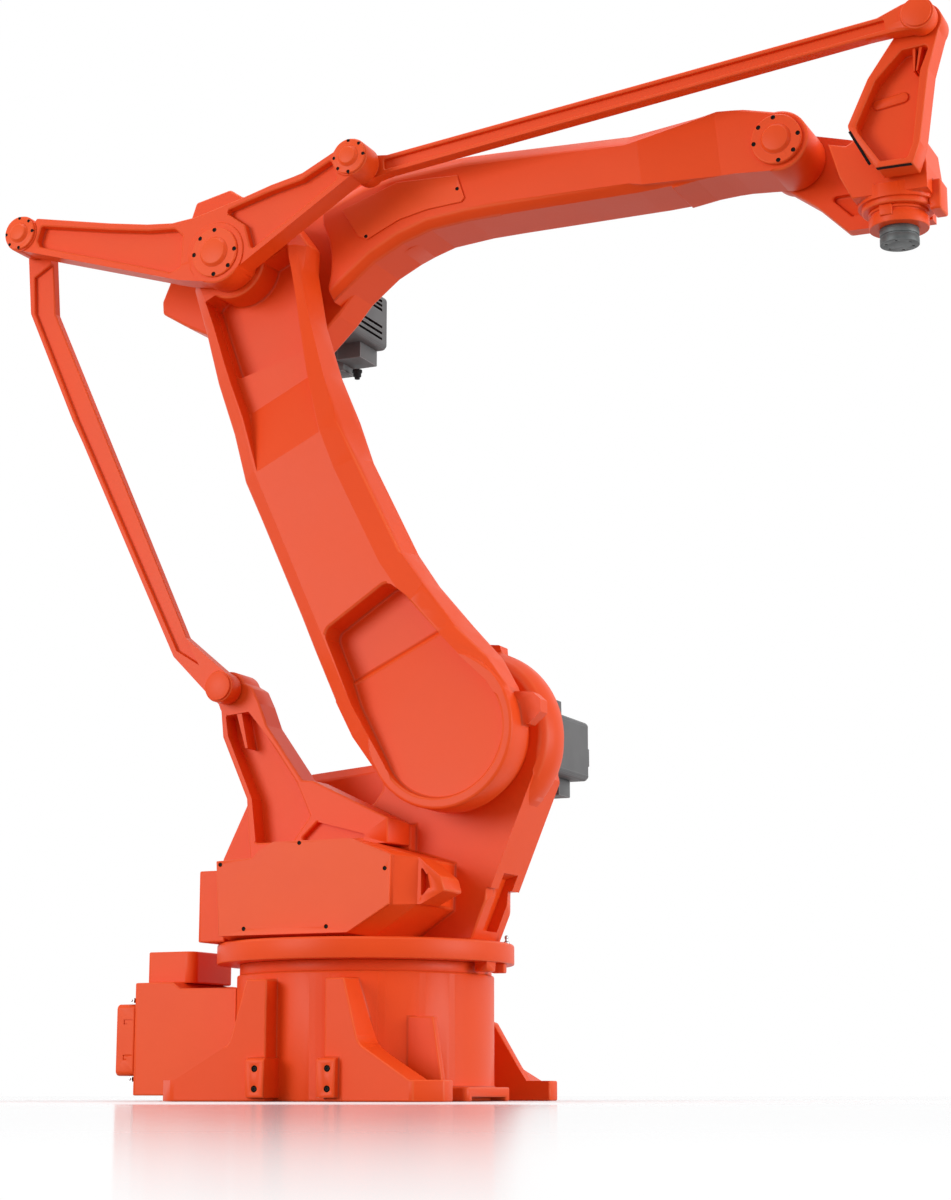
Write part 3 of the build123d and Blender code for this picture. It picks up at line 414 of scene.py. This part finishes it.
# Screws by the body that carries them and the part that they sit in
capAngles = (90, 45, 0, 270, 225, 180)
elbowAngles = (90, 0, -45, 270, 180, 135)
screwSeats = {
    "rocker": {
        "rocker_rear_cap": ring((-850.0, -290, 2137.2), 39, capAngles, nearSide, 3.4),
        "rocker_front_cap": ring((81.8, -290, 2185.7), 39, capAngles, nearSide, 3.4),
        "rocker_elbow_cap": ring((-279.9, -290, 2001.4), 56, elbowAngles, nearSide, 4.4),
    },
    "upper_arm": {
        "elbow_motor": square((-244, 425, 2016), 58, farSide, 5)
        + square((-244, 99.3, 2016), 77, farSide, 6.5),
        "wrist_cap": ring((1068.6, -92.3, 2133.6), 52.5, [a + 5.5 for a in elbowAngles], nearSide, 4.2),
        "arm_cover": spots([(281.7, -110, 2134.8), (37.8, -110, 2052.2)], nearSide, 3.6),
    },
    "turret": {
        "shoulder_motor": square((314, 440, 842), 58, farSide, 5)
        + spots([(237, 134.3, 765), (391, 134.3, 765)], farSide, 6.5),
        "column_cover": spots([(-234, 106.3, 446), (-234, 106.3, 588), (32, 106.3, 670), (136, 106.3, 628),
                               (152, 106.3, 446), (-40, 106.3, 446)], farSide, 4.5),
        "turret_ring": spots([(325 * math.cos(math.radians(a)), 325 * math.sin(math.radians(a)), 355.3)
                              for a in range(26, 160, 16)], Vector((0, 0, 1)), 8),
        "side_cover": spots([(-220.1, -300, 525.8), (-17.1, -300, 567.2), (197.6, -300, 502.3),
                             (-156.0, -300, 379.4), (53.4, -300, 379.1)], nearSide, 3.6),
    },
    "wrist": {
        "wrist_housing": ring((1068.6, 109, 2133.6), 52.5, range(0, 360, 60), farSide, 4.2),
    },
    "base": {
        "connector_panel": spots([(-586.3, 128, 206), (-586.3, -128, 206), (-586.3, 128, 74),
                                  (-586.3, -128, 74)], Vector((-1, 0, 0)), 4.5),
        "base_casting": spots([(-88.1, -360, 70.3), (-88.2, -360, 26.8), (92.0, -360, 70.3),
                               (91.9, -360, 27.0)], nearSide, 5.2),
    },
}

# In head radii: the bore round a head, and how deep the head lies in it
screwFit = {"clearance": 1.22, "sunk": 0.35}


def sinkScrews(body, node, points):
    # makes the screws of one part as a piece, and gives the bores to cut for them
    made = screws.make("screws_" + node, [(place - facing * size * screwFit["sunk"], facing, size)
                                          for place, facing, size in points], screwBlack)
    finish(made, body)
    # the bores' walls are painted black as shade round the heads
    return bores.make("bores_" + node, [(place, facing, size * screwFit["clearance"])
                                        for place, facing, size in points], boreBlack)


def finish(piece, body, *replaced):
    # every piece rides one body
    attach(piece, body)
    if replaced:
        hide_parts(*replaced)


def cutAway(piece, cutters):
    for cutter in cutters:
        modifier = piece.modifiers.new("cut", "BOOLEAN")
        modifier.operation = "DIFFERENCE"
        modifier.solver = "EXACT"
        modifier.material_mode = "TRANSFER"
        modifier.object = cutter
    bake(piece)
    for cutter in cutters:
        bpy.data.objects.remove(cutter)


softening = {
    # which edges are softened, and from which angle shading breaks
    "sharp": math.radians(24), "crease": math.radians(35),
    # the room that a neighbour leaves, by the corner that it makes, and the least that is used
    "corner": math.radians(150), "straight": math.radians(179), "share": 0.45, "arcShare": 0.7,
    "least": 0.08,
    # what is cleaned up first: points that meet, faces in one plane, edges that are too short
    "weld": 2e-6, "plane": math.radians(0.6), "merge": 0.0003, "tiny": 0.00002,
    # what counts as a fault: a triangle of some size that looks inwards, or a point too far out
    "speck": 2e-8, "inwards": -0.05, "reach": 1.2, "attempts": 7,
    # where edges take a painted highlight, wear and painted shade, and which faces are shaded flat
    "onFace": 0.05, "fullDepth": 0.25, "narrow": 0.9, "flat": 0.004,
}


def weighEdges(mesh, radius):
    # each sharp edge is softened by as much as its neighbours leave room for
    work = bmesh.new()
    work.from_mesh(mesh)
    layer = work.edges.layers.float.new("bevel_weight_edge")
    for edge in work.edges:
        if len(edge.link_faces) != 2 or edge.calc_face_angle(0.0) < softening["sharp"]:
            continue
        room = radius
        for loop in edge.link_loops:
            after = loop.link_loop_next
            for corner, neighbour in ((loop, loop.link_loop_prev.edge), (after, after.edge)):
                inside = corner.calc_angle() if corner.is_convex else math.tau - corner.calc_angle()
                if inside < softening["corner"]:
                    room = min(room, neighbour.calc_length() * math.sin(inside) * softening["share"])
                elif inside < softening["straight"]:
                    room = min(room, edge.calc_length() / (math.pi - inside) * softening["arcShare"])
        edge[layer] = room / radius if room > radius * softening["least"] else 0.0
    work.to_mesh(mesh)
    work.free()


def markEdges(mesh, radius, shell):
    # marks outward edges, which take a painted highlight on the enamel and wear on the grey and black
    # finishes, and inward edges, which take painted shade; large faces have neither mark and are shaded flat
    work = bmesh.new()
    work.from_mesh(mesh)
    bmesh.ops.dissolve_degenerate(work, dist=softening["tiny"], edges=work.edges)
    rubAndHighlight = work.verts.layers.float.new("rubAndHighlight")
    nook = work.verts.layers.float.new("nook")
    for vert in work.verts:
        place, outwards, index, depth = shell.find_nearest(vert.co)
        if depth > radius * softening["onFace"]:
            layer = rubAndHighlight if (vert.co - place).dot(outwards) < 0 else nook
            vert[layer] = min(1.0, depth / (radius * softening["fullDepth"]))
    narrow = {}
    for face in work.faces:
        longest = max(edge.calc_length() for edge in face.edges)
        narrow[face] = face.calc_area() < radius * softening["narrow"] * longest
        face.smooth = narrow[face] or face.calc_area() < softening["flat"]
        if not face.smooth:
            for vert in face.verts:
                vert[rubAndHighlight] = vert[nook] = 0.0
    for edge in work.edges:
        if len(edge.link_faces) == 2:
            strip = all(narrow[face] for face in edge.link_faces)
            edge.smooth = strip or edge.calc_face_angle(0.0) < softening["crease"]
    work.to_mesh(mesh)
    work.free()


def softPart(node, material, radius, cutters=()):
    # the CAD part again, with its edges softened and its holes cut
    mesh = nodes[node].data.copy()
    work = bmesh.new()
    work.from_mesh(mesh)
    bmesh.ops.remove_doubles(work, verts=work.verts, dist=softening["weld"])
    bmesh.ops.dissolve_limit(work, angle_limit=softening["plane"], verts=work.verts, edges=work.edges)
    bmesh.ops.dissolve_degenerate(work, dist=softening["merge"], edges=work.edges)
    work.to_mesh(mesh)
    work.free()
    mesh.materials.clear()
    mesh.materials.append(material)
    piece = bpy.data.objects.new(node + "_soft", mesh)
    bpy.context.scene.collection.objects.link(piece)
    if cutters:
        cutAway(piece, cutters)
    soften(piece, radius)
    return piece


def faults(mesh, shell, reach):
    # places where the softened shape leaves the part or turns over
    far = {vert.index for vert in mesh.vertices if shell.find_nearest(vert.co)[3] > reach}
    places = {index for edge in mesh.edges if far.intersection(edge.vertices) for index in edge.vertices}
    places -= far
    mesh.calc_loop_triangles()
    for triangle in mesh.loop_triangles:
        if triangle.area > softening["speck"]:
            outwards = shell.find_nearest(triangle.center)[1]
            if triangle.normal.dot(outwards) < softening["inwards"]:
                places.update(triangle.vertices)
    return [mesh.vertices[index].co.copy() for index in places]


def leaveSharp(mesh, places, reach):
    weights = mesh.attributes["bevel_weight_edge"].data
    near = {vert.index for vert in mesh.vertices
            if any((vert.co - place).length < reach for place in places)}
    for edge in mesh.edges:
        if near.intersection(edge.vertices):
            weights[edge.index].value = 0.0


def soften(piece, radius):
    # bevels the weighed edges, and leaves those sharp round which that fails
    source = piece.data
    weighEdges(source, radius)
    shell = BVHTree.FromPolygons([vert.co for vert in source.vertices],
                                 [face.vertices[:] for face in source.polygons])
    known = faults(source, shell, radius)
    for attempt in range(softening["attempts"]):
        piece.data = source
        bevel = piece.modifiers.new("bevel", "BEVEL")
        bevel.width = radius
        bevel.segments = 2
        bevel.limit_method = "WEIGHT"
        bevel.use_clamp_overlap = False
        places = [place for place in faults(bake(piece), shell, radius * softening["reach"])
                  if not any((place - old).length < softening["merge"] for old in known)]
        if not places:
            break
        leaveSharp(source, places, radius * (1 + attempt))
    else:
        piece.data = source
        print("edges of", piece.name, "left sharp")
    markEdges(piece.data, radius, shell)


def block(work, low, high):
    made = bmesh.ops.create_cube(work, size=1.0)
    low, high = Vector(low) * mm, Vector(high) * mm
    size = high - low
    bmesh.ops.transform(work, verts=made["verts"],
                        matrix=Matrix.Translation((low + high) / 2) @ Matrix.Diagonal((*size, 1.0)))


def prism(work, outline, near, far):
    # a flat shape given as (x, z) corners, between two places along y
    rings = [[work.verts.new(Vector((x, y, z)) * mm) for x, z in outline] for y in (near, far)]
    for one in range(len(outline)):
        two = (one + 1) % len(outline)
        work.faces.new((rings[0][one], rings[0][two], rings[1][two], rings[1][one]))
    work.faces.new(rings[0])
    work.faces.new(rings[1])


def turned(work, profile, place, facing, steps=28):
    # a closed round shape from (radius, along) pairs in mm
    turn = Vector(facing).to_track_quat("Z", "Y").to_matrix().to_4x4()
    matrix = Matrix.Translation(Vector(place) * mm) @ turn
    rings = []
    for radius, along in profile:
        ringVerts = []
        for step in range(steps):
            angle = math.tau * step / steps
            spot = Vector((radius * math.cos(angle), radius * math.sin(angle), along)) * mm
            ringVerts.append(work.verts.new(matrix @ spot))
        rings.append(ringVerts)
    for lower, upper in zip(rings, rings[1:]):
        for step in range(steps):
            after = (step + 1) % steps
            work.faces.new((lower[step], lower[after], upper[after], upper[step]))
    work.faces.new(list(reversed(rings[0])))
    work.faces.new(rings[-1])


def newPiece(name, work, material, radius=0.0):
    # radius is that of its soft edges in mm
    bmesh.ops.recalc_face_normals(work, faces=work.faces)
    mesh = bpy.data.meshes.new(name)
    work.to_mesh(mesh)
    work.free()
    mesh.materials.append(material)
    piece = bpy.data.objects.new(name, mesh)
    bpy.context.scene.collection.objects.link(piece)
    if radius:
        soften(piece, radius * mm)
    return piece


# How each part is finished: its material, and the radius of its soft edges in mm
finishes = {
    "base_casting": (castOrange, 4), "slewing_bearing": (castOrange, 2), "cable_box": (plateOrange, 3),
    "connector_panel": (plateOrange, 3), "turn_motor": (plateOrange, 3), "turret_ring": (castOrange, 3),
    "turret_casting": (castOrange, 6), "shoulder_gearbox": (castOrange, 2), "link_bracket": (castOrange, 4),
    "side_cover": (plateOrange, 1.5), "rear_box": (castOrange, 3), "column_cover": (plateOrange, 1.5),
    "shoulder_motor": (motorGrey, 2), "shoulder_motor_plug": (motorGrey, 2), "bracket_pin": (castOrange, 1),
    "lower_arm": (castOrange, 6), "elbow_pin": (castOrange, 1), "rocker": (castOrange, 4),
    "rocker_rear_cap": (plateOrange, 1), "rocker_elbow_cap": (plateOrange, 1),
    "rocker_front_cap": (plateOrange, 1), "rocker_rear_pin": (castOrange, 1),
    "rocker_front_pin": (castOrange, 1), "rear_link": (castOrange, 3),
    "front_rod": (castOrange, 3), "upper_arm": (castOrange, 6), "arm_cover": (plateOrange, 1),
    "wrist_cap": (plateOrange, 1), "wrist_pin": (castOrange, 1), "elbow_motor": (motorGrey, 2),
    "elbow_motor_plug": (motorGrey, 2), "wrist_housing": (castOrange, 4), "wrist_lever": (castOrange, 3),
    "lever_pin": (castOrange, 1), "wrist_ring": (castOrange, 1.5), "tool_flange": (flangeBlack, 1),
}

# Slots in the elbow motor's front face
motorSlots = {"x": -170.9, "middle": 262, "length": 262, "height": 6.5, "depth": 18,
              "levels": (2070, 2058, 2046, 1999, 1982, 1966)}

# Grooves that mark the connector panel's two latches, on its near side
latchGrooves = {"face": -146, "depth": 2.5, "levels": (181.5, 99.5), "left": -565, "right": -541, "half": 6,
                "width": 2.5, "foot": 9, "proud": 5}


def latchGrooveCutter():
    work = bmesh.new()
    left, right, half = latchGrooves["left"], latchGrooves["right"], latchGrooves["half"]
    width = latchGrooves["width"]
    inner, toe = left + width, left + latchGrooves["foot"]
    for level in latchGrooves["levels"]:
        top, foot = level + half, level - half
        prism(work, [(right, top), (left, top), (left, foot), (toe, foot), (toe, foot + width),
                     (inner, foot + width), (inner, top - width), (right, top - width)],
              latchGrooves["face"] - latchGrooves["proud"], latchGrooves["face"] + latchGrooves["depth"])
    return newPiece("latchGrooves", work, plateOrange)


def motorSlotCutter():
    points = [(Vector((motorSlots["x"], motorSlots["middle"], level)) * mm, Vector((1, 0, 0)), 1.0)
              for level in motorSlots["levels"]]
    # the slots' walls are painted black as shade
    return slots.make("motorSlots", points, boreBlack, Length=motorSlots["length"] * mm,
                      Height=motorSlots["height"] * mm, Depth=motorSlots["depth"] * mm * 2)


cutters = {node: [] for node in finishes}
for body, seats in screwSeats.items():
    for node, points in seats.items():
        cutters[node].append(sinkScrews(body, node, points))
cutters["elbow_motor"].append(motorSlotCutter())
cutters["connector_panel"].append(latchGrooveCutter())
print("screws and cutters made")

for node, (material, radius) in finishes.items():
    piece = softPart(node, material, radius * mm, cutters[node])
    finish(piece, nodes[node]["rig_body"], node)
print("soft edges made")


# Small parts that the castings carry: a profile is (radius, along) from its place, in mm
greaseNipple = {"place": (322, 80, 353), "soft": 0.6,
                "profile": ((7, 0), (7, 6), (3.4, 8), (3.4, 13), (4.6, 15), (4.6, 18), (2, 21))}
cableGland = {"place": (-237, 380, 1886), "soft": 0.8,
              "profile": ((13, 0), (13, 7), (10.5, 9), (10.5, 18), (7, 20), (7, 25))}
motorTail = {"low": (322, 436, 806), "high": (383, 452, 851), "soft": 2.5,
             "screws": ((374, 440, 872), (374, 440, 785)), "profile": ((6, -2), (6, 3), (4, 6))}
panelClips = {"places": ((-549, -148, 226), (-549, -148, 44)), "size": (12, 14, 11), "soft": 1,
              "screw": (6, 0, 5.5), "profile": ((3.4, 0), (3.4, 2), (2.4, 3))}
# Black strips painted as shade: in the gap at the lever's end, and as the shadow line under the lever's lower
# edge
leverGapShade = {"from": (1258.9, 2091.1), "to": (1300.0, 2010.7), "width": 6, "near": -162.6, "far": -150}
leverShadowLine = {"from": (1315.6, 1996.6), "to": (1393.2, 1995.2), "width": 1.4, "near": -162.4, "far": -150}
shadeStripSoft = 0.5


def strip(work, shape):
    # a bar between two points of a face that looks along y
    start, end = Vector(shape["from"]), Vector(shape["to"])
    along = (end - start).normalized()
    aside = Vector((-along.y, along.x)) * shape["width"] / 2
    prism(work, [start + aside, end + aside, end - aside, start - aside], shape["near"], shape["far"])


def smallParts():
    work = bmesh.new()
    turned(work, greaseNipple["profile"], greaseNipple["place"], (0, 0, 1))
    finish(newPiece("grease_nipple", work, pinSteel, greaseNipple["soft"]), "turret")
    work = bmesh.new()
    turned(work, cableGland["profile"], cableGland["place"], (0, 0, -1))
    finish(newPiece("cable_gland", work, sealRubber, cableGland["soft"]), "upper_arm")
    work = bmesh.new()
    block(work, motorTail["low"], motorTail["high"])
    for place in motorTail["screws"]:
        turned(work, motorTail["profile"], place, farSide)
    finish(newPiece("motor_tail", work, motorGrey, motorTail["soft"]), "turret")
    work = bmesh.new()
    for place in panelClips["places"]:
        low = Vector(place)
        block(work, low, low + Vector(panelClips["size"]))
        turned(work, panelClips["profile"], low + Vector(panelClips["screw"]), nearSide)
    finish(newPiece("panel_clips", work, pinSteel, panelClips["soft"]), "base")
    # black strips that paint the shade in the lever's gap and under its lower edge
    work = bmesh.new()
    strip(work, leverGapShade)
    strip(work, leverShadowLine)
    finish(newPiece("lever_gap_shade", work, boreBlack, shadeStripSoft), "wrist")


smallParts()
print("small parts made")


# The floor is dull below the object and shiny further out, and it fades to white from near to far
floorLook = {"size": 60.0, "drop": 0.0005, "near": 1.0, "far": 5.25, "power": 5.0,
             "dull": 0.55, "dullTo": 0.8, "shiny": 0.12, "shinyFrom": 1.6, "specular": 1.0,
             "seen": (0.92, 0.92, 0.92, 1), "bounce": (0.34, 0.32, 0.31, 1)}


def watched(bench):
    # 1 for what the camera sees, also in a reflection or through glass
    path = bench.add("ShaderNodeLightPath", {}, {}).socket.node
    camera, glossy, through = [Wire(bench, path.outputs[name]) for name in
                               ("Is Camera Ray", "Is Glossy Ray", "Is Transmission Ray")]
    return bench.add("ShaderNodeMath", {"operation": "ADD", "use_clamp": True},
                     {0: camera + glossy, 1: through})


def makeFloor():
    mesh = bpy.data.meshes.new("floor")
    half = floorLook["size"] / 2
    low = -floorLook["drop"]
    mesh.from_pydata([(-half, -half, low), (half, -half, low), (half, half, low), (-half, half, low)], [],
                     [(0, 1, 2, 3)])
    floor = bpy.data.objects.new("floor", mesh)
    bpy.context.scene.collection.objects.link(floor)
    sketch = Sketch("paleFloor")
    apart = sketch.add("ShaderNodeVectorMath", {"operation": "LENGTH"}, {0: sketch.place}, "Value")
    seen = watched(sketch)
    colour = sketch.mix(seen, floorLook["bounce"], floorLook["seen"])
    shine = (floorLook["dull"] - floorLook["shiny"]) * apart.ramp(floorLook["dullTo"], floorLook["shinyFrom"])
    sketch.surface(**{"Base Color": colour, "Specular IOR Level": floorLook["specular"],
                      "Roughness": floorLook["dull"] - shine})
    glow = sketch.add("ShaderNodeEmission", {}, {"Color": (1, 1, 1, 1), "Strength": 1.0})
    away = sketch.add("ShaderNodeMapRange", {}, {"Value": apart, "From Min": floorLook["near"],
                                                 "From Max": floorLook["far"]})
    fade = sketch.add("ShaderNodeMath", {"operation": "POWER"}, {0: away, 1: floorLook["power"]})
    blend = sketch.add("ShaderNodeMixShader", {}, {0: fade * seen, 2: glow})
    sketch.tree.links.new(sketch.shader.outputs[0], blend.socket.node.inputs[1])
    sketch.tree.links.new(blend.socket, sketch.output.inputs["Surface"])
    mesh.materials.append(sketch.material)


# Each lamp has its place, its width in metres and its power in watts
studio = {"light": (0.97, 0.98, 1.0, 1), "strength": 0.76, "aim": (0.2, 0, 1.2),
          "lamps": {"key": ((-4.6, -8.6, 2.6), 4.5, 420), "side": ((8.6, 1.0, 1.4), 4.0, 380),
                    "top": ((0.4, 0.6, 7.5), 4.0, 110)}}
photoView = {"place": (2.5788, -5.0212, 0.0237), "pitch": 101.55, "turn": 24.6, "lens": 72.0, "sensor": 36}


def makeWorld():
    world = bpy.data.worlds.new("studio")
    bpy.context.scene.world = world
    world.use_nodes = True
    world.node_tree.nodes.clear()
    bench = Bench(world.node_tree)
    seen = watched(bench)
    lit = bench.add("ShaderNodeBackground", {}, {"Color": studio["light"], "Strength": studio["strength"]})
    white = bench.add("ShaderNodeBackground", {}, {"Color": (1, 1, 1, 1), "Strength": 1.0})
    both = bench.add("ShaderNodeMixShader", {}, {0: seen, 1: lit, 2: white})
    out = world.node_tree.nodes.new("ShaderNodeOutputWorld")
    world.node_tree.links.new(both.socket, out.inputs["Surface"])


def areaLight(name, place, size, power):
    lamp = bpy.data.lights.new(name, "AREA")
    lamp.shape = "DISK"
    lamp.size = size
    lamp.energy = power
    lightObject = bpy.data.objects.new(name, lamp)
    bpy.context.scene.collection.objects.link(lightObject)
    lightObject.location = place
    direction = Vector(studio["aim"]) - Vector(place)
    lightObject.rotation_euler = direction.to_track_quat("-Z", "Y").to_euler()


def makeCamera():
    lens = bpy.data.cameras.new("photoView")
    lens.lens = photoView["lens"]
    lens.sensor_width = photoView["sensor"]
    camera = bpy.data.objects.new("photoView", lens)
    bpy.context.scene.collection.objects.link(camera)
    camera.location = photoView["place"]
    camera.rotation_euler = (math.radians(photoView["pitch"]), 0, math.radians(photoView["turn"]))
    bpy.context.scene.camera = camera


makeFloor()
makeWorld()
for name, lamp in studio["lamps"].items():
    areaLight(name + "Light", *lamp)
makeCamera()
bpy.context.scene.view_settings.view_transform = "Standard"
print("studio made")
